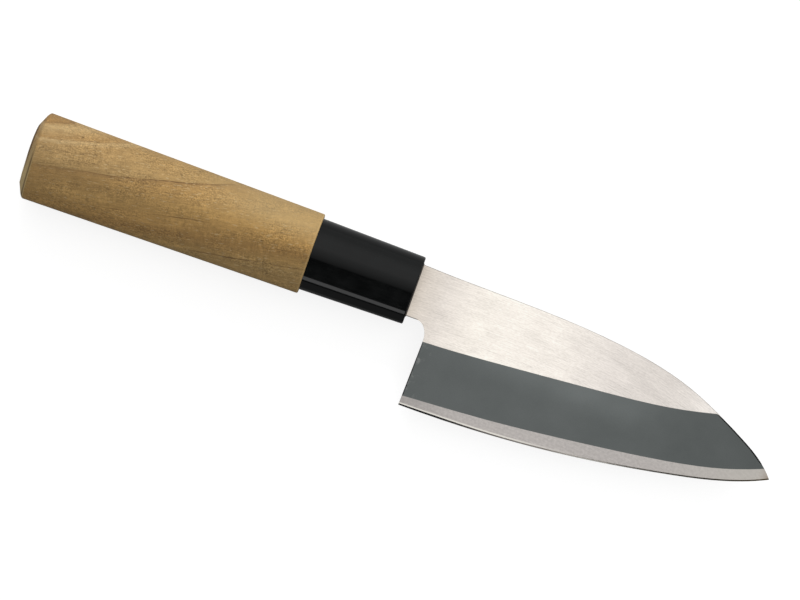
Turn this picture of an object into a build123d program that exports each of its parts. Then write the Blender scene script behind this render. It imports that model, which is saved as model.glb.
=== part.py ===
from build123d import *
from math import acos, asin, atan2, cos, degrees, radians, sin
import os

os.makedirs("parts", exist_ok=True)

# A small right-handed deba knife, laid on the flat back of its blade.
# +X runs from the butt to the tip, +Y from the cutting edge to the spine and +Z out of the
# bevelled face. The origin is the centre of the knife's box, on its lowest plane.
# Local sizes are measured from the middle of the ferrule's mouth, where the neck comes out.

# Blade outline
edge_length = 105.1  # heel corner to tip
heel_gap = 6.5  # ferrule mouth to heel corner
heel_rake = 0.5  # the heel's top stands this far ahead of its corner
blade_height = 39.4  # spine line at the neck down to the heel corner
spine_fall = 24.2  # spine line at the neck down to the tip
neck_height = 15.2
neck_rise = 0.2  # middle of the neck above the middle of the ferrule
choil_width = 3.6
choil_height = 4.9

# Blade section
spine_thickness = 4.5  # at the ferrule mouth
distal_taper = 2.5  # thickness lost from there to the tip
bevel_width = 18.95  # main bevel, edge to shinogi line, at the heel
bevel_root = 0.3  # height at which the main bevel would meet the edge
micro_bevel_width = 0.45
edge_land = 0.08  # what is left of the thickness at the very edge
strip_width = 4.3  # edge steel showing on the main bevel, half way along
steel_margin = 3.0  # ferrule mouth to the rear end of the edge steel
hollow_depth = 0.25  # hollow ground into the flat back
hollow_rim = 3.0  # flat rim round the hollow, at the heel
spine_round = 0.35

# Tang
shoulder_step = 3.1  # neck to tang, above and below
shoulder_side = 0.25  # neck to tang, on each face
tang_length = 72.0
tang_end_height = 4.5
tang_end_thickness = 2.4
tang_side_shift = 0.5  # blade and tang lie this far to the back of the handle's middle

# Ferrule
ferrule_length = 30.6
ferrule_lip = 2.3  # ferrule beyond the neck, above and below, at the mouth
ferrule_flare = 1.15  # growth in height and in thickness from mouth to rear
ferrule_wall = 1.3
ferrule_front_wall = 3.0
ferrule_front_round = 0.45
side_radius = 7.4  # roundings of the section's top and of its lower back
ridge_radius = 5.5
back_radius = 22.0  # gentle curve of the side opposite the ridge
under_radius = 1.8  # below the ridge, at the section's lowest place
tenon_fit = 0.05  # glue gap between the wooden tenon and the ferrule

# Wooden handle
wood_length = 83.7
wood_step = 1.22  # wood standing proud of the ferrule, all round
wood_flare = 1.9  # growth in height and in thickness from the ferrule to the butt
butt_chamfer_length = 2.3
butt_chamfer_depth = 4.0
wood_front_round = 0.35

# Bedding resin
bed_gap = 0.6  # resin round the tang
bed_end_gap = 2.0  # resin behind the end of the tang
seal_gap = 0.2  # resin round the neck in the ferrule's slot
bead_width = 0.35
bead_height = 0.2
bead_slope = 45  # degrees

# One overrun serves all cutters.
overrun = 2.0

# Centre of the ridge's rounding, below and behind the middle of the ferrule's mouth, as
# shares of half the section's height and of its top's radius
ridge_drop_share = 0.385
ridge_back_share = 0.145

# The butt's chamfer from the end face (0) to the full section (1), with its rounded rim:
# share of the chamfer's length and share of its depth that is left
butt_shares = ((0.0, 1.0), (0.58, 0.27), (0.74, 0.12), (0.88, 0.035), (1.0, 0.0))

# Turns of a rounded rim, from the full section (0) to the end face
rounding_turns = [radians(angle) for angle in (0, 30, 60, 90)]

# The blade from heel (0) to tip (1). The rows just outside that range carry the cutters past
# both ends. Columns: place along the edge, fall of the spine, rise of the edge, width of the
# main bevel, width of the steel strip, depth of the hollow.
blade_shares = (
    (-0.03, 0.000, -0.004, 1.00, 0.62, 0.10),
    (0.00, 0.004, 0.000, 1.00, 0.65, 0.30),
    (0.24, 0.033, 0.033, 1.055, 0.90, 0.90),
    (0.50, 0.105, 0.194, 1.045, 1.00, 1.00),
    (0.72, 0.310, 0.4375, 1.00, 0.87, 0.90),
    (0.88, 0.626, 0.684, 1.02, 0.84, 0.50),
    (0.96, 0.833, 0.875, 0.99, 0.84, 0.10),
    (1.00, 1.000, 1.000, 0.95, 0.80, 0.00),
    (1.04, 1.170, 1.135, 0.91, 0.76, 0.00),
)

# Sizes that follow
spine_y = neck_rise + neck_height / 2
under_y = spine_y - neck_height
edge_y = spine_y - blade_height
edge_rise = blade_height - spine_fall
tip_x = heel_gap + edge_length
tang_root_height = neck_height - 2 * shoulder_step
tang_root_thickness = spine_thickness - 2 * shoulder_side
ferrule_front_height = neck_height + 2 * ferrule_lip
side_shift = ferrule_front_height / 2 - side_radius
back_turn = asin(side_shift / (back_radius - side_radius))
back_rise = (back_radius - side_radius) * cos(back_turn)
wood_front_outset = ferrule_flare / 2 + wood_step
butt_outset = wood_front_outset + wood_flare / 2
butt_height = ferrule_front_height + 2 * butt_outset
wood_x = -ferrule_length
butt_x = wood_x - wood_length
back_z = -tang_side_shift - spine_thickness / 2

# Where the middle of the ferrule's mouth lies from the origin
mouth_x = -(butt_x + tip_x) / 2
mouth_y = -(edge_y + butt_height / 2) / 2
mouth_z = back_radius - back_rise + butt_outset

# The blade's flat back seen from above, and the same place seen from the edge's side
back_plane = Plane(origin=(mouth_x, mouth_y, mouth_z + back_z))
side_plane = Plane(origin=back_plane.origin, x_dir=(1, 0, 0), z_dir=(0, -1, 0))


def across(x, z=0):
    """Plane across the knife at x: local x points to the spine, local y out of the bevel."""
    return Plane(origin=(mouth_x + x, mouth_y, mouth_z + z), x_dir=(0, 1, 0), z_dir=(1, 0, 0))


def thickness_at(x):
    """Thickness of the flat upper part of the blade."""
    return spine_thickness - distal_taper * x / tip_x


def station(row):
    """Places of one row of the blade table: x, spine, edge, bevel slope, bond height, hollow."""
    place, fall, rise, bevel, strip, hollow = row
    x = heel_gap + edge_length * place
    spine = spine_y - spine_fall * fall
    edge = edge_y + edge_rise * rise
    slope = (thickness_at(x) - bevel_root) / (bevel_width * bevel)
    bond = bevel_root + slope * strip_width * strip
    return x, spine, edge, slope, bond, hollow_depth * hollow


def bevel_face(rises):
    """Ruled face of a bevel, carried past the edge and past its upper limit.

    Each rise is x, the edge's place, the bevel's height there, its slope and its width.
    """
    with BuildLine(back_plane) as low:
        Spline([(x, edge - overrun, z - slope * overrun) for x, edge, z, slope, width in rises])
    with BuildLine(back_plane) as high:
        Spline(
            [
                (x, edge + width + overrun, z + slope * (width + overrun))
                for x, edge, z, slope, width in rises
            ]
        )
    return Face.make_surface_from_curves(low.edge(), high.edge())


def hollow_cut(x, spine, edge, depth):
    """Section of the hollow in the flat back, inside a rim that narrows towards the tip."""
    rim = hollow_rim * (spine - edge) / blade_height
    low = edge + rim
    high = spine - rim
    with BuildSketch(across(x, back_z)) as section:
        with BuildLine():
            ThreePointArc((low, 0), ((low + high) / 2, depth), (high, 0))
            Polyline((high, 0), (high, -overrun), (low, -overrun), (low, 0))
        make_face()
    return section.sketch


def tangent_turn(first, first_radius, second, second_radius):
    """Angle, seen from both centres, at which two circles meet the straight line round them."""
    apart = Vector(*second) - Vector(*first)
    lean = acos((first_radius - second_radius) / apart.length)
    return degrees(atan2(apart.Y, apart.X) - lean) % 360


def chestnut(x, outset):
    """Section of the handle at x, grown all round by an outset from the ferrule's mouth.

    Straight lines join the roundings of its top, its ridge, low down on the bevelled side,
    and its underside. Its back is a gentle curve between two tighter ones.
    """
    high = ferrule_front_height / 2
    top = (side_shift, 0)
    ridge = (-high * ridge_drop_share, -side_radius * ridge_back_share)
    under = (under_radius - high, 0)
    gentle = degrees(back_turn)
    flat = tangent_turn(top, side_radius, ridge, ridge_radius)
    flank = tangent_turn(ridge, ridge_radius, under, under_radius)
    with BuildSketch(across(x)) as section:
        with BuildLine():
            top_arc = CenterArc(top, side_radius + outset, gentle - 90, flat + 90 - gentle)
            ridge_arc = CenterArc(ridge, ridge_radius + outset, flat, flank - flat)
            under_arc = CenterArc(under, under_radius + outset, flank, 180 - flank)
            CenterArc((-side_shift, 0), side_radius + outset, 180, 90 - gentle)
            CenterArc((0, back_rise), back_radius + outset, -90 - gentle, 2 * gentle)
            Line(top_arc @ 1, ridge_arc @ 0)
            Line(ridge_arc @ 1, under_arc @ 0)
        make_face()
    return section.sketch


def rounded_end(x, outset, radius):
    """Sections that round the front rim of a length of handle or ferrule ending at x."""
    return [
        chestnut(x - radius * (1 - sin(turn)), outset - radius * (1 - cos(turn)))
        for turn in rounding_turns
    ]


def ferrule_section(x, inset):
    """The ferrule's section at x, drawn in by a wall."""
    return chestnut(x, ferrule_flare / 2 * -x / ferrule_length - inset)


def butt_section(along, inset):
    """Section of the butt, given how far along its chamfer and how far drawn in it lies."""
    return chestnut(
        butt_x + butt_chamfer_length * along, butt_outset - butt_chamfer_depth * inset
    )


def block(x, height, thickness, gap=0):
    """Rectangle across neck or tang, grown by a gap all round."""
    with BuildSketch(across(x, -tang_side_shift)) as section:
        with Locations((neck_rise, 0)):
            Rectangle(height + 2 * gap, thickness + 2 * gap)
    return section.sketch


def tang_sections(gap=0, end_gap=0):
    """Both ends of the tang's tapered bar, or with gaps those of its mortise in the wood."""
    end_x = -ferrule_front_wall - tang_length - end_gap
    return [
        block(-ferrule_front_wall, tang_root_height, tang_root_thickness, gap),
        block(end_x, tang_end_height, tang_end_thickness, gap),
    ]


# Whole blade: outline, flat taper, main bevel, micro-bevel, hollow back and tang
with BuildPart() as blade:
    rows = [station(row) for row in blade_shares]
    inside = rows[2:-1]
    heel_top = (heel_gap + heel_rake, under_y - choil_height)
    with BuildSketch(back_plane):
        with BuildLine():
            Line((-ferrule_front_wall, spine_y), (0, spine_y))
            Spline([(0, spine_y)] + [(row[0], row[1]) for row in inside])
            Spline([(row[0], row[2]) for row in reversed(inside)] + [(heel_gap, edge_y)])
            Line((heel_gap, edge_y), heel_top)
            EllipticalCenterArc(
                (heel_top[0] - choil_width, heel_top[1]),
                choil_width,
                choil_height,
                start_angle=0,
                arc_size=90,
            )
            Line((heel_top[0] - choil_width, under_y), (-ferrule_front_wall, under_y))
            Line((-ferrule_front_wall, under_y), (-ferrule_front_wall, spine_y))
        make_face()
    extrude(amount=spine_thickness)
    with BuildSketch(side_plane):
        with BuildLine():
            Polyline(
                (-ferrule_front_wall, 0),
                (tip_x, 0),
                (tip_x, thickness_at(tip_x)),
                (0, spine_thickness),
                (-ferrule_front_wall, spine_thickness),
                close=True,
            )
        make_face()
    extrude(amount=blade_height, both=True, mode=Mode.INTERSECT)
    long_edges = edges().filter_by(lambda edge: edge.length > tip_x / 2)
    fillet(long_edges.sort_by(Axis.Z)[-2:].sort_by(Axis.Y)[-1], radius=spine_round)
    main_rises = []
    micro_rises = []
    for x, spine, edge, slope, bond, hollow in rows:
        steep = slope + (bevel_root - edge_land) / micro_bevel_width
        main_rises.append((x, edge, bevel_root, slope, (thickness_at(x) - bevel_root) / slope))
        micro_rises.append((x, edge, edge_land, steep, micro_bevel_width))
    ground_depth = spine_thickness + overrun
    extrude(bevel_face(main_rises), amount=ground_depth, dir=(0, 0, 1), mode=Mode.SUBTRACT)
    extrude(bevel_face(micro_rises), amount=ground_depth, dir=(0, 0, 1), mode=Mode.SUBTRACT)
    hollow_rows = [rows[0]] + rows[2:-2]
    loft(
        [hollow_cut(x, spine, edge, hollow) for x, spine, edge, slope, bond, hollow in hollow_rows],
        mode=Mode.SUBTRACT,
    )
    loft(tang_sections(), ruled=True)

# Hard steel layer along the back: everything under the bond surface
with BuildPart() as edge_steel:
    add(blade.part)
    with BuildSketch(side_plane):
        with BuildLine():
            bond_line = [(row[0], row[4]) for row in rows]
            Spline([(steel_margin, rows[0][4])] + bond_line[1:])
            Polyline(
                bond_line[-1],
                (bond_line[-1][0], -overrun),
                (steel_margin, -overrun),
                (steel_margin, rows[0][4]),
            )
        make_face()
    extrude(amount=blade_height, both=True, mode=Mode.INTERSECT)

# Soft iron body over it, with the neck and the tang
with BuildPart() as blade_cladding:
    add(blade.part)
    add(edge_steel.part, mode=Mode.SUBTRACT)

# Ferrule: a cup over the wooden tenon, with a slot for the neck in its front wall
with BuildPart() as ferrule:
    front_sections = rounded_end(0, 0, ferrule_front_round)
    loft([ferrule_section(wood_x, 0)] + front_sections, ruled=True)
    loft(
        [
            ferrule_section(wood_x, ferrule_wall),
            ferrule_section(-ferrule_front_wall, ferrule_wall),
        ],
        ruled=True,
        mode=Mode.SUBTRACT,
    )
    slot = block(-ferrule_front_wall, neck_height, spine_thickness, seal_gap)
    extrude(slot, amount=ferrule_front_wall, mode=Mode.SUBTRACT)

# Wooden handle: flared grip with a chamfered butt, tenon in front and tapered mortise
with BuildPart() as handle:
    butt_sections = [butt_section(*shares) for shares in butt_shares]
    front_sections = rounded_end(wood_x, wood_front_outset, wood_front_round)
    loft(butt_sections + front_sections, ruled=True)
    tenon_inset = ferrule_wall + tenon_fit
    loft(
        [
            ferrule_section(wood_x, tenon_inset),
            ferrule_section(-ferrule_front_wall, tenon_inset),
        ],
        ruled=True,
    )
    loft(tang_sections(bed_gap, bed_end_gap), ruled=True, mode=Mode.SUBTRACT)

# Resin round the tang, through the ferrule's slot and out in a low bead round the neck
with BuildPart() as tang_bedding:
    loft(tang_sections(bed_gap, bed_end_gap), ruled=True)
    extrude(slot, amount=ferrule_front_wall)
    bead = block(0, neck_height, spine_thickness, bead_width)
    extrude(bead, amount=bead_height, taper=bead_slope)
    add(blade.part, mode=Mode.SUBTRACT)

blade_cladding.part.label = "blade_cladding"
export_step(blade_cladding.part, "parts/blade_cladding.step")

edge_steel.part.label = "edge_steel"
export_step(edge_steel.part, "parts/edge_steel.step")

ferrule.part.label = "ferrule"
export_step(ferrule.part, "parts/ferrule.step")

handle.part.label = "handle"
export_step(handle.part, "parts/handle.step")

tang_bedding.part.label = "tang_bedding"
export_step(tang_bedding.part, "parts/tang_bedding.step")
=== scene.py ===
import math

import bpy
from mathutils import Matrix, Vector


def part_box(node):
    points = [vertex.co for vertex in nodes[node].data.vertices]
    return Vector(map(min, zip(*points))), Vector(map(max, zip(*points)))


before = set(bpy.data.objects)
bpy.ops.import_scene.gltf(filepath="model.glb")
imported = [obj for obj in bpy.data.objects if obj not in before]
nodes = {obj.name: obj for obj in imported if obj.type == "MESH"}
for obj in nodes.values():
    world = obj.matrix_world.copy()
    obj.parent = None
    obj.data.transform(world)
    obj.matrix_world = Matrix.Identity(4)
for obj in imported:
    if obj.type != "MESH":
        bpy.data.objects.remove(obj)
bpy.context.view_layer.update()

# A small deba knife lying on a pale floor, seen from straight above its bevelled face.
# +X runs from the butt to the tip, +Y from the edge to the spine and +Z out of the bevel.

MM = 0.001

iron_low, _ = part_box("blade_cladding")
steel_low, steel_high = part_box("edge_steel")
_, ferrule_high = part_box("ferrule")
handle_low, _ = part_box("handle")

# Tilt of the knife in the picture, and how much of the floor the picture shows
KNIFE_TILT = math.radians(19.7)
PICTURE_WIDTH = 224 * MM
PICTURE_CENTRE = Vector((-1.55 * MM, 5.675 * MM, 10 * MM))
CAMERA_HEIGHT = 1.1
SENSOR_WIDTH = 36

# Most noise lies between these two values
NOISE_LOW = 0.3
NOISE_HIGH = 0.7


class Shader:
    """A material or world whose nodes are added and linked one after another."""

    def __init__(self, owner):
        self.owner = owner
        owner.use_nodes = True
        self.tree = owner.node_tree
        self.tree.nodes.clear()

    def node(self, kind, inputs=None, **settings):
        """Adds a node. An input is a value, a colour or the output of another node."""
        made = self.tree.nodes.new(kind)
        for name, value in settings.items():
            setattr(made, name, value)
        for name, value in (inputs or {}).items():
            self.feed(made.inputs[name], value)
        return made

    def feed(self, socket, value):
        """Links a node's output to the socket, or sets its value or colour."""
        if isinstance(value, bpy.types.NodeSocket):
            self.tree.links.new(value, socket)
        elif socket.type == "RGBA":
            socket.default_value = (*value, 1)
        else:
            socket.default_value = value

    # Arithmetic

    def math(self, operation, first, second=0.0):
        inputs = {0: first, 1: second}
        return self.node("ShaderNodeMath", inputs, operation=operation).outputs[0]

    def plus(self, first, *others):
        for other in others:
            first = self.math("ADD", first, other)
        return first

    def times(self, first, *others):
        for other in others:
            first = self.math("MULTIPLY", first, other)
        return first

    def minus(self, first, second):
        return self.math("SUBTRACT", first, second)

    def largest(self, first, second):
        return self.math("MAXIMUM", first, second)

    def above(self, value, limit):
        """1 where the value is above the limit, and 0 elsewhere."""
        return self.math("GREATER_THAN", value, limit)

    def below(self, value, limit):
        """1 where the value is below the limit, and 0 elsewhere."""
        return self.math("LESS_THAN", value, limit)

    def span(self, value, low, high, to_low=0.0, to_high=1.0, smooth=False):
        """Maps low..high to to_low..to_high and holds the ends."""
        inputs = {0: value, 1: low, 2: high, 3: to_low, 4: to_high}
        kind = "SMOOTHSTEP" if smooth else "LINEAR"
        return self.node("ShaderNodeMapRange", inputs, interpolation_type=kind).outputs[0]

    def swing(self, noise, to_low, to_high):
        """Maps the usual range of a noise to to_low..to_high."""
        return self.span(noise, NOISE_LOW, NOISE_HIGH, to_low, to_high)

    def rim(self, distance, solid, gone, strength=1):
        """Line along an edge: solid up to one distance in millimetres, gone at the next."""
        return self.span(distance, solid * MM, gone * MM, strength, 0)

    def course(self, value, points):
        """Height of a broken line through points of (value, height), level beyond its ends."""
        height = points[0][1]
        for (start, low), (end, high) in zip(points, points[1:]):
            height = self.plus(self.span(value, start, end, 0, high - low), height)
        return height

    def choose(self, share, first, second):
        """Mixes two values."""
        inputs = {0: share, 2: first, 3: second}
        return self.node("ShaderNodeMix", inputs, data_type="FLOAT").outputs[0]

    # Places and directions

    def vector(self, x, y, z=0.0):
        return self.node("ShaderNodeCombineXYZ", {0: x, 1: y, 2: z}).outputs[0]

    def split(self, vector):
        return self.node("ShaderNodeSeparateXYZ", {0: vector}).outputs

    def position(self):
        """X, Y and Z of the object's own frame, in metres."""
        return self.split(self.node("ShaderNodeTexCoord").outputs["Object"])

    def facing(self):
        """X, Y and Z of the flat facet's direction, which tells one face from another."""
        return self.split(self.node("ShaderNodeNewGeometry").outputs["True Normal"])

    # Patterns

    def noise(self, vector, scale=1.0, detail=2.0, roughness=0.5):
        inputs = {"Vector": vector, "Scale": scale, "Detail": detail, "Roughness": roughness}
        return self.node("ShaderNodeTexNoise", inputs).outputs["Fac"]

    def streaks(self, along, across, length, width, **settings):
        """Noise drawn out into streaks of that length and width in millimetres."""
        vector = self.vector(
            self.math("DIVIDE", along, length * MM), self.math("DIVIDE", across, width * MM)
        )
        return self.noise(vector, **settings)

    def bump(self, height, distance, normal=None):
        inputs = {"Height": height, "Distance": distance}
        if normal is not None:
            inputs["Normal"] = normal
        return self.node("ShaderNodeBump", inputs).outputs[0]

    # Colours

    def ramp(self, value, stops):
        """Colour ramp with stops of (place, colour)."""
        made = self.node("ShaderNodeValToRGB", {0: value})
        elements = made.color_ramp.elements
        while len(elements) < len(stops):
            elements.new(0.5)
        for element, (place, colour) in zip(elements, stops):
            element.position = place
            element.color = (*colour, 1)
        return made.outputs[0]

    def tint(self, noise, dark, light):
        """Colour that follows the usual range of a noise from dark to light."""
        return self.ramp(noise, [(NOISE_LOW, dark), (NOISE_HIGH, light)])

    def mix(self, share, first, second, blend="MIX"):
        """Mixes two colours."""
        inputs = {0: share, 6: first, 7: second}
        settings = {"data_type": "RGBA", "blend_type": blend}
        return self.node("ShaderNodeMix", inputs, **settings).outputs[2]

    def scaled(self, colour, factor):
        """Colour times a factor that varies over the surface."""
        return self.mix(1.0, colour, self.vector(factor, factor, factor), "MULTIPLY")

    # Ends of the tree

    def surface(self, **inputs):
        """The finish itself: inputs of the Principled shader, with _ for spaces."""
        named = {name.replace("_", " "): value for name, value in inputs.items()}
        self.output(self.node("ShaderNodeBsdfPrincipled", named))

    def output(self, shader):
        kind = "World" if isinstance(self.owner, bpy.types.World) else "Material"
        self.node("ShaderNodeOutput" + kind, {"Surface": shader.outputs[0]})


def material(name):
    return Shader(bpy.data.materials.new(name))


def dress(node, shader):
    """Gives a CAD node one material in place of its plain one."""
    piece = nodes[node]
    piece.data.materials.clear()
    piece.data.materials.append(shader.owner)


# Steel. Here and below, s is the shader that a function adds to.


# From the ferrule's mouth to the heel, and how far the heel leans forward over its height
HEEL_GAP = 6.5 * MM
HEEL_RAKE = 0.5 * MM
HEEL_HEIGHT = 27 * MM

# Fall of the spine from neck to tip, and how late along the blade it falls
SPINE_FALL = 19.4 * MM
SPINE_POWER = 3.5

# Y of the neck's underside
NECK_UNDER = 2.075 * MM

# Stretch of the spine where the grey bevel runs out on it, in millimetres behind the tip, and
# how many straight pieces follow the curve of its edge there
BEVEL_RUNOUT = (30, 3.9)
RUNOUT_PIECES = 6

# Height above the back up to which the painted highlight, a bright line over the micro-bevel,
# reaches, near the heel and further on
GLEAM_HEIGHTS = (0.47 * MM, 0.435 * MM)

# Height above the rim of the back from which it counts as hollow
HOLLOW_START = 0.02 * MM

# Limits of a facet's direction: Z of the faces seen from above and of the back, and Y of the
# faces that lean towards the edge
FACE_UP = 0.5
BACK_DOWN = -0.5
BEVEL_LEAN = -0.04
EDGE_LEAN = -0.4

# Depth of the grinding scratches and of the bevel's grit
SCRATCH_DEPTH = 0.010 * MM
GRIT_DEPTH = 0.012 * MM

# How many times longer than wide the clouds on the flat are, and a shift across the lines
# that gives the dark scratches a pattern of their own
CLOUD_STRETCH = 2.5
SCRATCH_SHIFT = 0.3

# Tones of the brushed flat along the blade, from the ferrule (0) to the tip (1): the finish's
# own tone, with painted reflection in its lighter and darker stretches
BRUSHED_AND_REFLECTION = [
    (0.0, (0.64, 0.570, 0.495)),
    (0.03, (0.74, 0.675, 0.605)),
    (0.08, (0.80, 0.740, 0.680)),
    (0.18, (0.97, 0.910, 0.830)),
    (0.38, (0.95, 0.890, 0.820)),
    (0.53, (0.81, 0.755, 0.705)),
    (0.68, (0.73, 0.680, 0.635)),
    (0.80, (0.86, 0.810, 0.760)),
    (1.0, (0.80, 0.750, 0.695)),
]

# Tones of the micro-bevel along the blade, where it isn't black. Near the heel they carry on its
# painted shade, and they grow lighter further on.
MICRO_BEVEL_TONES = [
    (0.3, (0.07, 0.065, 0.06)),
    (0.45, (0.13, 0.12, 0.11)),
    (0.58, (0.40, 0.38, 0.35)),
    (0.85, (0.46, 0.42, 0.36)),
    (0.97, (0.34, 0.24, 0.11)),
]

# Other tones of the blade. A pair is the darkest and the lightest of an uneven finish.
MATTE = ((0.153, 0.167, 0.164), (0.181, 0.196, 0.193))
SPECK = (0.42, 0.42, 0.41)
# Painted shade along the bevel's edges and under the neck
EDGE_SHADE_TONE = (0.022, 0.022, 0.021)
SATIN = ((0.57, 0.535, 0.512), (0.645, 0.605, 0.578))
YELLOWED = (0.565, 0.54, 0.48)
TIP_STAIN = (0.24, 0.135, 0.055)
BACK_RIM = ((0.66, 0.64, 0.615), (0.73, 0.71, 0.685))
BACK_HOLLOW = ((0.60, 0.58, 0.555), (0.70, 0.68, 0.65))
# Painted highlight over the micro-bevel
EDGE_GLEAM = (0.98, 0.94, 0.86)
# Painted shade: black along the micro-bevel near the heel
PAINTED_EDGE_BLACK = (0.01, 0.01, 0.01)

mouth_x = ferrule_high.x
heel_x = mouth_x + HEEL_GAP
tip_x = steel_high.x
back_z = steel_low.z


def past_mouth(distance):
    """X of a place that many millimetres beyond the ferrule's mouth."""
    return mouth_x + distance * MM


def short_of_tip(distance):
    """X of a place that many millimetres behind the tip."""
    return tip_x - distance * MM


def along_blade(s, x):
    """How far along the blade a point lies, from the ferrule (0) to the tip (1)."""
    return s.span(x, mouth_x, tip_x)


def grinding_line(s, x, y):
    """Place across lines that follow the curve of the spine, as a grinding belt leaves them."""
    bend = s.math("POWER", along_blade(s, x), SPINE_POWER)
    return s.plus(y, s.times(bend, SPINE_FALL))


def brushed_flat(s, x, line, long_streaks, fine_streaks):
    """Colour of the bright flat: streaks, cloudy patches, a few darker scratches and painted
    reflection along the blade.
    """
    grains = s.streaks(x, line, length=0.9, width=0.3, detail=2)
    cloud = s.noise(s.vector(x, s.times(line, CLOUD_STRETCH)), scale=110, detail=3)
    lift = s.plus(
        s.swing(long_streaks, -0.08, 0.06),
        s.swing(fine_streaks, -0.09, 0.08),
        s.swing(grains, -0.08, 0.08),
        s.swing(cloud, 0.94, 1.06),
    )
    flat = s.scaled(s.ramp(along_blade(s, x), BRUSHED_AND_REFLECTION), lift)
    elsewhere = s.plus(line, SCRATCH_SHIFT)
    scratches = s.streaks(x, elsewhere, length=7, width=0.17, detail=2)
    return s.scaled(flat, s.span(scratches, 0.62, 0.72, 1, 0.80))


def matte_bevel(s, x, y, point, grit):
    """Colour of the grey bevel: lighter high up its middle, with light specks at the heel."""
    haze = s.noise(point, scale=60, detail=4, roughness=0.55)
    upper = s.span(y, -9 * MM, -1 * MM, 0, 0.26, smooth=True)
    middle = s.times(
        s.span(x, past_mouth(8), past_mouth(38), 0.35, 1, smooth=True),
        s.span(x, past_mouth(62), past_mouth(84), 1, 0, smooth=True),
    )
    fade = s.plus(s.span(x, past_mouth(70), tip_x, 1.0, 0.84), s.times(upper, middle))
    matte = s.scaled(s.tint(haze, *MATTE), s.times(fade, s.swing(grit, 0.92, 1.08)))
    speck = s.span(s.noise(s.vector(x, y), scale=420, detail=4, roughness=0.7), 0.54, 0.66)
    near_heel = s.span(x, heel_x, past_mouth(12), 1, 0, smooth=True)
    return s.mix(s.times(speck, near_heel, 0.5), matte, SPECK)


def spine_height(place):
    """Highest Y that the edges of the blade's mesh reach at that X."""
    heights = []
    for node in ("blade_cladding", "edge_steel"):
        mesh = nodes[node].data
        for edge in mesh.edges:
            ends = [mesh.vertices[end].co for end in edge.vertices]
            rear, front = sorted(ends, key=lambda end: end.x)
            if rear.x <= place < front.x:
                share = (place - rear.x) / (front.x - rear.x)
                heights.append(rear.lerp(front, share).y)
    return max(heights)


def runout_course():
    """Points along the spine's edge, X and height, where the grey bevel runs out on it."""
    rear, front = (short_of_tip(distance) for distance in BEVEL_RUNOUT)
    step = (front - rear) / RUNOUT_PIECES
    places = [rear + step * piece for piece in range(RUNOUT_PIECES + 1)]
    return [(place, spine_height(place)) for place in places]


def painted_edge_shade(s, x, y, on_bevel):
    """Painted shade as thin dark edges: the bevel's spine near the tip and its heel, and a
    painted shadow along the neck's underside.
    """
    spine = runout_course()
    near_spine = s.rim(s.minus(s.course(x, spine), y), 0.36, 0.5)
    near_spine = s.times(near_spine, s.above(x, spine[0][0]))
    rake = s.span(y, iron_low.y, iron_low.y + HEEL_HEIGHT, heel_x, heel_x + HEEL_RAKE)
    near_heel = s.rim(s.minus(x, rake), 0.3, 0.46, 0.9)
    near_heel = s.times(near_heel, s.above(x, heel_x - 0.3 * MM))
    under = s.rim(s.minus(y, NECK_UNDER), 0.12, 0.3, 0.8)
    under = s.times(under, s.span(x, past_mouth(3.2), past_mouth(4), 1, 0))
    return s.largest(s.times(on_bevel, s.largest(near_spine, near_heel)), under)


def iron():
    """Soft iron: bright brushed flat, matte grey bevel, plainly ground spine and heel."""
    s = material("soft_iron")
    x, y, z = s.position()
    point = s.vector(x, y, z)
    line = grinding_line(s, x, y)
    _, side_y, side_z = s.facing()
    on_face = s.above(side_z, FACE_UP)
    on_bevel = s.times(on_face, s.below(side_y, BEVEL_LEAN))

    long_streaks = s.streaks(x, line, length=30, width=0.5, detail=4, roughness=0.65)
    fine_streaks = s.streaks(x, line, length=5, width=0.2, detail=3, roughness=0.6)
    grit = s.noise(point, scale=3200, detail=3, roughness=0.6)
    flat = brushed_flat(s, x, line, long_streaks, fine_streaks)
    colour = s.mix(on_bevel, flat, matte_bevel(s, x, y, point, grit))
    # Painted shade along the bevel's edges and painted shadow under the neck
    edges = s.times(painted_edge_shade(s, x, y, on_bevel), on_face)

    rough = s.choose(on_bevel, s.swing(long_streaks, 0.27, 0.35), s.swing(grit, 0.5, 0.6))
    scratches = s.bump(s.times(fine_streaks, s.minus(1.0, on_bevel)), SCRATCH_DEPTH)
    s.surface(
        Base_Color=s.mix(edges, colour, EDGE_SHADE_TONE),
        Metallic=1.0,
        Roughness=rough,
        Normal=s.bump(s.times(grit, on_bevel), GRIT_DEPTH, scratches),
    )
    return s


def satin_strip(s, x, y, long_streaks, fine_streaks):
    """Colour of the strip over the edge: dark at the heel, yellower and stained at the tip."""
    mottle = s.noise(s.vector(x, y), scale=1300, detail=2, roughness=0.6)
    lift = s.times(
        s.swing(fine_streaks, 0.95, 1.05),
        s.swing(mottle, 0.90, 1.10),
        s.span(x, heel_x, past_mouth(22), 0.82, 1.0),
        s.span(x, past_mouth(42), past_mouth(70), 1.0, 0.93),
    )
    satin = s.scaled(s.tint(long_streaks, *SATIN), lift)
    yellow = s.span(x, short_of_tip(32), short_of_tip(8), 0, 0.5)
    satin = s.mix(yellow, satin, YELLOWED)
    stain = s.span(x, short_of_tip(4), tip_x, 0, 0.8)
    return s.mix(s.times(stain, stain), satin, TIP_STAIN)


def painted_edge_gleam(s, x, z):
    """Strength of the painted highlight, a thin bright line over the micro-bevel, which fades
    from the heel on.
    """
    near, onward = (back_z + height for height in GLEAM_HEIGHTS)
    top = s.span(x, past_mouth(8), past_mouth(50), near, onward)
    fade = s.span(x, past_mouth(30), past_mouth(62), 1, 0, smooth=True)
    return s.times(s.rim(s.minus(z, top), 0, 0.01), fade)


def micro_bevel(s, x):
    """Colour of the micro-bevel: painted shade in black near the heel, lighter further on."""
    near_heel = s.span(x, past_mouth(18), past_mouth(38), 1, 0, smooth=True)
    return s.mix(near_heel, s.ramp(along_blade(s, x), MICRO_BEVEL_TONES), PAINTED_EDGE_BLACK)


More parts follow.
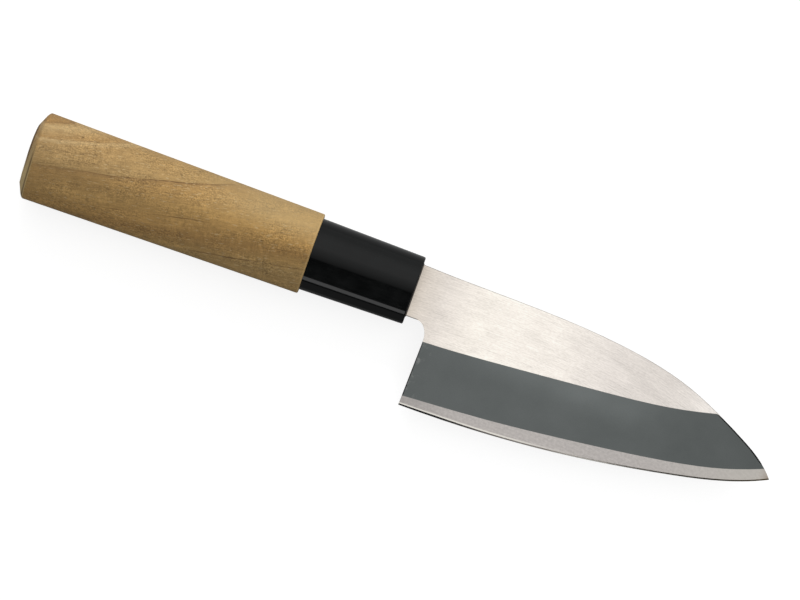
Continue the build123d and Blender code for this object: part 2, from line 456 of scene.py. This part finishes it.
def steel():
    """Hard steel: satin strip, micro-bevel with painted shade under a painted highlight line,
    ground hollow back.
    """
    s = material("hard_steel")
    x, y, z = s.position()
    line = grinding_line(s, x, y)
    _, side_y, side_z = s.facing()
    on_back = s.below(side_z, BACK_DOWN)
    on_edge = s.times(s.below(side_y, EDGE_LEAN), s.above(side_z, FACE_UP))
    in_hollow = s.times(s.above(z, back_z + HOLLOW_START), on_back)

    long_streaks = s.streaks(x, line, length=16, width=0.4, detail=4, roughness=0.65)
    fine_streaks = s.streaks(x, line, length=4, width=0.14, detail=3, roughness=0.6)
    ground = s.streaks(y, x, length=30, width=0.35, detail=4, roughness=0.65)
    back = s.mix(in_hollow, s.tint(long_streaks, *BACK_RIM), s.tint(ground, *BACK_HOLLOW))
    colour = s.mix(on_back, satin_strip(s, x, y, long_streaks, fine_streaks), back)
    # Painted highlight: a thin bright line over the micro-bevel
    gleam_strength = s.times(painted_edge_gleam(s, x, z), s.minus(1.0, on_back), 0.95)
    colour = s.mix(gleam_strength, colour, EDGE_GLEAM)

    rough = s.minus(s.swing(fine_streaks, 0.33, 0.42), s.times(on_edge, 0.2))
    s.surface(
        Base_Color=s.mix(on_edge, colour, micro_bevel(s, x)),
        Metallic=1.0,
        Roughness=s.minus(rough, s.times(on_back, 0.08)),
        Normal=s.bump(s.choose(in_hollow, fine_streaks, ground), SCRATCH_DEPTH),
    )
    return s


# Resin


# Darkest and lightest tone of each
FERRULE_BLACK = ((0.0010, 0.0014, 0.0014), (0.0019, 0.0026, 0.0026))
BEDDING_BROWN = ((0.02, 0.017, 0.014), (0.045, 0.038, 0.03))


def ferrule_resin():
    """Glossy black moulding with the faint ripple and haze of a polished plastic."""
    s = material("ferrule_resin")
    x, y, z = s.position()
    haze = s.noise(s.vector(x, y, z), scale=260, detail=3)
    rub = s.streaks(x, y, length=5, width=0.25, detail=2)
    s.surface(
        Base_Color=s.tint(haze, *FERRULE_BLACK),
        Roughness=s.plus(s.swing(haze, 0.07, 0.10), s.span(rub, 0.5, 0.8, 0, 0.04)),
        IOR=1.34,
        Normal=s.bump(haze, 0.004 * MM),
    )
    return s


def bedding():
    """Dark set resin."""
    s = material("bedding_resin")
    x, y, z = s.position()
    speck = s.noise(s.vector(x, y, z), scale=900, detail=3)
    s.surface(
        Base_Color=s.tint(speck, *BEDDING_BROWN),
        Roughness=s.swing(speck, 0.45, 0.6),
        Normal=s.bump(speck, 0.03 * MM),
    )
    return s


# Wood


# X of the wood's front face
WOOD_FRONT = -29.25 * MM

# The growth rings are layers that lean along the knife and into it. Their depth is Y, less a
# share of X, plus a share of Z.
GRAIN_SLOPE = 0.2
GRAIN_DEPTH = 0.33

# How much deeper the layers lie at the rear, and the stretch along X where that fades
REAR_DROP = 0.9 * MM
DROP_FADE = (-95 * MM, -62 * MM)

# Tones of the rings by their depth in millimetres
RING_SPAN = 56 * MM
RING_TONES = [
    (0.0, (0.40, 0.250, 0.092)),
    (14.5, (0.40, 0.260, 0.098)),
    (17.0, (0.42, 0.260, 0.090)),
    (20.5, (0.36, 0.207, 0.066)),
    (24.0, (0.47, 0.278, 0.090)),
    (27.5, (0.48, 0.290, 0.097)),
    (29.5, (0.49, 0.300, 0.103)),
    (31.8, (0.43, 0.262, 0.092)),
    (34.5, (0.43, 0.260, 0.092)),
    (36.0, (0.37, 0.222, 0.083)),
    (36.7, (0.415, 0.268, 0.107)),
    (42.8, (0.415, 0.265, 0.108)),
    (43.6, (0.51, 0.352, 0.165)),
    (44.3, (0.40, 0.243, 0.093)),
    (46.6, (0.50, 0.345, 0.160)),
    (47.6, (0.35, 0.205, 0.076)),
    (51.0, (0.41, 0.250, 0.097)),
]

# Thin dark lines between rings: depth, half width, strength, and the stretch along X where
# the line shows best. All but the strength are in millimetres.
RING_LINES = [
    (6.3, 0.30, 0.35, -113, -29),
    (15.9, 0.28, 0.70, -60, -29),
    (25.9, 0.30, 0.85, -84, -62),
    (34.1, 0.20, 0.30, -113, -70),
    (36.3, 0.26, 0.80, -98, -60),
    (44.0, 0.22, 0.30, -113, -80),
    (47.4, 0.26, 0.35, -113, -80),
]

# Length over which a line fades beyond that stretch, and the share of it that is left there
LINE_FADE = 6 * MM
LINE_REST = 0.15

# Depth of the ring that is curly towards the front
CURLY_DEPTH = 21.3 * MM

# Limits of a facet's direction along X: the butt's end face and its chamfer
END_LEAN = -0.98
CHAMFER_LEAN = -0.25

# Other tones of the wood
WARM = (0.46, 0.27, 0.090)
DARK_LINE = (0.12, 0.060, 0.022)
GLINT = (0.66, 0.50, 0.27)
PORE = (0.13, 0.07, 0.028)
# Painted sheen, a paler tone high on the handle's front half
SHEEN_TONE = (0.46, 0.340, 0.170)
END_GRAIN = (0.33, 0.215, 0.095)
# Painted light on the lower half of the butt's chamfer
CHAMFER_LIGHT = (0.58, 0.44, 0.20)
# Painted shade along the borders of the butt's chamfer
END_BORDER_SHADE = (0.10, 0.052, 0.016)
REAR_BORDER_SHADE = (0.11, 0.062, 0.024)
FRONT_EDGE = (0.62, 0.42, 0.18)


def past_butt(distance):
    """X of a place that many millimetres in front of the butt's end face."""
    return handle_low.x + distance * MM


class Grain:
    """The directions along and across the wood's fibres, and noise drawn out along them."""

    def __init__(self, s, x, y, z):
        lean = math.atan(GRAIN_SLOPE)
        self.s = s
        self.along = s.plus(s.times(x, math.cos(lean)), s.times(y, math.sin(lean)))
        self.across = s.minus(s.times(y, math.cos(lean)), s.times(x, math.sin(lean)))
        self.z = z

    def noise(self, length, width, start=0.0, **settings):
        """Streaks of that size in millimetres. Each start gives a pattern of its own."""
        s = self.s
        vector = s.vector(
            s.plus(s.math("DIVIDE", self.along, length * MM), start),
            s.math("DIVIDE", self.across, width * MM),
            s.math("DIVIDE", self.z, width * MM),
        )
        return s.noise(vector, **settings)


def ring_depth(s, grain, x, y, z):
    """Depth of a point in the layers of the rings, which sway and wobble."""
    level = s.plus(s.minus(y, s.times(x, GRAIN_SLOPE)), s.times(z, GRAIN_DEPTH))
    sway = s.swing(grain.noise(length=45, width=12, detail=1), -0.5 * MM, 0.5 * MM)
    wobble = s.swing(grain.noise(length=5, width=3, start=3.0, detail=2), -0.14 * MM, 0.14 * MM)
    drop = s.span(x, *DROP_FADE, REAR_DROP, 0, smooth=True)
    return s.plus(level, sway, wobble, drop)


def ring_lines(s, grain, x, depth):
    """Strength of the broken dark lines between the rings."""
    dark = 0.0
    for number, (place, width, strength, start, end) in enumerate(RING_LINES):
        apart = s.math("ABSOLUTE", s.minus(depth, place * MM))
        broken = grain.noise(length=9, width=30, start=31.0 + number, detail=4, roughness=0.7)
        line = s.times(
            s.span(apart, 0, width * MM, strength, 0, smooth=True),
            s.span(broken, 0.38, 0.58, 0.12, 1.0),
            s.span(x, start * MM - LINE_FADE, start * MM, LINE_REST, 1.0),
            s.span(x, end * MM, end * MM + LINE_FADE, 1.0, LINE_REST),
        )
        dark = s.largest(dark, line)
    return dark


def ripples(s, grain, x, point, depth):
    """Light and dark ripples across the fibres, in patches and along the curly ring."""
    patches = s.span(s.noise(point, scale=60, detail=1), 0.42, 0.62, smooth=True)
    apart = s.math("ABSOLUTE", s.minus(depth, CURLY_DEPTH))
    curly = s.times(s.rim(apart, 1.2, 2.6, 1.3), s.span(x, -64 * MM, -54 * MM))
    ripple = grain.noise(length=0.7, width=2.4, detail=3, roughness=0.65)
    return s.times(s.largest(patches, curly), s.swing(ripple, -0.18, 0.14))


def figure(s, grain, x, point, depth, flecks, fibres):
    """Factor by which the wood's bands, fibres, flecks and ripples change its rings."""
    bands = grain.noise(length=70, width=1.1, start=7.0, detail=4, roughness=0.65)
    dashes = grain.noise(length=2.6, width=0.2, start=53.0, detail=3, roughness=0.65)
    mottle = s.noise(point, scale=260, detail=4, roughness=0.7)
    grit = s.noise(point, scale=2500, detail=1)
    patches = grain.noise(length=14, width=4, start=61.0, detail=2)
    patches = s.span(patches, 0.38, 0.62, 0.35, 1.5, smooth=True)
    specks = s.plus(
        s.swing(flecks, -0.15, 0.15),
        s.swing(dashes, -0.15, 0.13),
        s.swing(grit, -0.2, 0.2),
    )
    return s.plus(
        s.times(specks, patches),
        s.swing(bands, 0.88, 1.12),
        s.swing(fibres, -0.11, 0.11),
        s.swing(mottle, -0.11, 0.11),
        ripples(s, grain, x, point, depth),
    )


def paint_shade_and_sheen(s, colour, x, y):
    """Paints shade on the wood low down, deepest at the rear, and a painted sheen high in front.
    """
    # Painted shade on the handle's lower side, deepest towards the butt
    painted_low_shade = s.times(
        s.span(x, handle_low.x, past_butt(28), 1, 0.4, smooth=True),
        s.span(y, 2 * MM, 8 * MM, 1, 0, smooth=True),
    )
    colour = s.scaled(colour, s.span(painted_low_shade, 0, 1, 1, 0.76))
    # Painted sheen high on the handle's front half
    painted_sheen = s.times(s.span(y, 11 * MM, 16 * MM), s.span(x, -66 * MM, -48 * MM), 0.45)
    return s.mix(painted_sheen, colour, SHEEN_TONE)


def ends(s, colour, x, y, z):
    """Colours the butt's end face, paints light on its chamfer low down and shade along their
    borders, and colours the front edge.
    """
    rearward, _, _ = s.facing()
    end_face = s.below(rearward, END_LEAN)
    chamfer = s.minus(s.below(rearward, CHAMFER_LEAN), end_face)
    colour = s.mix(s.times(end_face, 0.45), colour, END_GRAIN)
    # Painted light on the chamfer, strongest low down
    painted_chamfer_light = s.times(chamfer, s.span(y, 4 * MM, 13 * MM, 0.85, 0))
    colour = s.mix(painted_chamfer_light, colour, CHAMFER_LIGHT)

    # Painted shade where the end face meets the chamfer
    painted_end_shade = s.times(
        s.span(x, past_butt(0.45), past_butt(0.75), 1, 0),
        chamfer,
        s.span(y, 4 * MM, 10 * MM, 0.15, 0.8),
        s.span(z, 9 * MM, 15 * MM),
    )
    colour = s.mix(painted_end_shade, colour, END_BORDER_SHADE)
    # Painted shade where the chamfer meets the handle's side
    painted_rear_shade = s.times(
        s.span(x, past_butt(1.45), past_butt(1.75)),
        s.span(x, past_butt(1.85), past_butt(2.3), 1, 0),
        s.span(y, 8 * MM, 13 * MM, 0.8, 0),
    )
    colour = s.mix(painted_rear_shade, colour, REAR_BORDER_SHADE)
    front_edge = s.span(x, WOOD_FRONT - 0.55 * MM, WOOD_FRONT - 0.3 * MM, 0, 0.45)
    return s.mix(front_edge, colour, FRONT_EDGE)


def wood():
    """Plain sanded light wood whose growth rings cut the handle at a slant."""
    s = material("handle_wood")
    x, y, z = s.position()
    point = s.vector(x, y, z)
    grain = Grain(s, x, y, z)
    depth = ring_depth(s, grain, x, y, z)
    stops = [(place * MM / RING_SPAN, tone) for place, tone in RING_TONES]
    rings = s.ramp(s.span(depth, 0, RING_SPAN), stops)

    flecks = grain.noise(length=1.4, width=0.42, start=11.0, detail=3, roughness=0.7)
    fibres = grain.noise(length=7, width=0.25, start=17.0, detail=3, roughness=0.6)
    warm = s.span(s.noise(point, scale=50, detail=2), 0.45, 0.65)
    glints = s.span(grain.noise(length=2.0, width=0.36, start=41.0, detail=2), 0.62, 0.70)
    pores = s.span(grain.noise(length=1.3, width=0.16, start=23.0, detail=2), 0.62, 0.70)
    colour = s.scaled(rings, figure(s, grain, x, point, depth, flecks, fibres))
    colour = s.mix(s.times(warm, 0.16), colour, WARM)
    colour = s.mix(ring_lines(s, grain, x, depth), colour, DARK_LINE)
    colour = s.mix(s.times(glints, 0.5), colour, GLINT)
    colour = s.mix(s.times(pores, 0.5), colour, PORE)

    relief = s.minus(fibres, s.times(pores, 0.8))
    s.surface(
        Base_Color=ends(s, paint_shade_and_sheen(s, colour, x, y), x, y, z),
        Roughness=s.swing(flecks, 0.5, 0.62),
        Specular_IOR_Level=0.25,
        Normal=s.bump(relief, 0.03 * MM),
    )
    return s


dress("blade_cladding", iron())
dress("edge_steel", steel())
dress("ferrule", ferrule_resin())
dress("handle", wood())
dress("tang_bedding", bedding())


# Floor, light and camera


# Floor: half its side, its grey, how bright it looks from above, and the share of that
# brightness which the knife mirrors
FLOOR_HALF = 4.0
FLOOR_GREY = 0.35
FLOOR_GLOW = 0.8
MIRRORED_SHARE = 0.2

# Levels of the sky, from the horizon on the edge's side (0) to the one on the spine's side (1)
SKY = [
    (0.0, 0.40),
    (0.0016, 0.40),
    (0.0026, 0.05),
    (0.10, 0.05),
    (0.115, 0.20),
    (0.15, 0.40),
    (0.24, 0.60),
    (0.38, 0.80),
    (0.5, 1.0),
    (0.8, 1.0),
    (0.9, 0.88),
    (1.0, 0.6),
]
SKY_STRENGTH = 1.08

# Level of the sky beyond the butt and the tip, and the stretch along X where it fades in
END_SKY = 0.25
END_SKY_FADE = (0.4, 0.75)


def grey(level):
    return (level, level, level)


def floor():
    """A pale sheet that is seen from above only, and keeps the knife's shadow."""
    half = FLOOR_HALF
    mesh = bpy.data.meshes.new("floor")
    corners = [(-half, -half, 0), (half, -half, 0), (half, half, 0), (-half, half, 0)]
    mesh.from_pydata(corners, [], [(0, 1, 2, 3)])
    sheet = bpy.data.objects.new("floor", mesh)
    bpy.context.scene.collection.objects.link(sheet)
    s = material("floor")
    path = s.node("ShaderNodeLightPath").outputs
    mirrored = s.largest(path["Is Glossy Ray"], path["Is Transmission Ray"])
    seen = s.largest(path["Is Camera Ray"], s.times(mirrored, MIRRORED_SHARE))
    glow = {"Color": grey(1.0), "Strength": s.times(seen, FLOOR_GLOW)}
    diffuse = s.node("ShaderNodeBsdfDiffuse", {"Color": grey(FLOOR_GREY)}).outputs[0]
    lift = s.node("ShaderNodeEmission", glow).outputs[0]
    lit = s.node("ShaderNodeAddShader", {0: diffuse, 1: lift}).outputs[0]
    behind = s.node("ShaderNodeNewGeometry").outputs["Backfacing"]
    clear = s.node("ShaderNodeBsdfTransparent").outputs[0]
    s.output(s.node("ShaderNodeMixShader", {0: behind, 1: lit, 2: clear}))
    mesh.materials.append(s.owner)


def studio():
    """Light from above that fades towards the knife's ends, and most on the edge's side."""
    s = Shader(bpy.data.worlds.new("studio"))
    bpy.context.scene.world = s.owner
    x, y, _ = s.split(s.node("ShaderNodeTexCoord").outputs["Generated"])
    glow = s.ramp(s.span(y, -1, 1), [(place, grey(level)) for place, level in SKY])
    towards_end = s.span(s.math("ABSOLUTE", x), *END_SKY_FADE, smooth=True)
    glow = s.mix(towards_end, glow, grey(END_SKY))
    sky = {"Color": glow, "Strength": SKY_STRENGTH}
    lit = s.node("ShaderNodeBackground", sky).outputs[0]
    white = s.node("ShaderNodeBackground", {"Color": grey(1.0), "Strength": 1.0}).outputs[0]
    seen = s.node("ShaderNodeLightPath").outputs["Is Camera Ray"]
    s.output(s.node("ShaderNodeMixShader", {0: seen, 1: lit, 2: white}))


def softbox(name, place, aim, width, height, radiance, **visible):
    """A rectangular lamp that gives an even light of that radiance."""
    lamp = bpy.data.lights.new(name, "AREA")
    lamp.shape = "RECTANGLE"
    lamp.size = width
    lamp.size_y = height
    lamp.energy = radiance * math.pi * width * height
    box = bpy.data.objects.new(name, lamp)
    bpy.context.scene.collection.objects.link(box)
    box.location = place
    box.rotation_euler = (Vector(aim) - Vector(place)).to_track_quat("-Z", "Y").to_euler()
    box.visible_camera = False
    for rays, seen in visible.items():
        setattr(box, "visible_" + rays, seen)


def camera():
    """Looks straight down, turned so that the knife points down to the right."""
    data = bpy.data.cameras.new("camera")
    data.sensor_width = SENSOR_WIDTH
    data.lens = SENSOR_WIDTH * CAMERA_HEIGHT / PICTURE_WIDTH
    data.clip_start = 0.01
    data.clip_end = 20
    eye = bpy.data.objects.new("camera", data)
    eye.location = PICTURE_CENTRE + Vector((0, 0, CAMERA_HEIGHT))
    eye.rotation_euler = (0, 0, KNIFE_TILT)
    bpy.context.scene.collection.objects.link(eye)
    bpy.context.scene.camera = eye


floor()
studio()
softbox(
    "key",
    place=(-0.1, 1.04, 0.6),
    aim=(0, 0, 0),
    width=0.7,
    height=0.5,
    radiance=5.8,
    glossy=False,
)
softbox(
    "strip",
    place=(-0.015, -0.90, 0.42),
    aim=(-0.015, 0.01, 0.01),
    width=0.5,
    height=0.34,
    radiance=2.2,
    diffuse=False,
)
camera()

bpy.context.scene.view_settings.view_transform = "Standard"
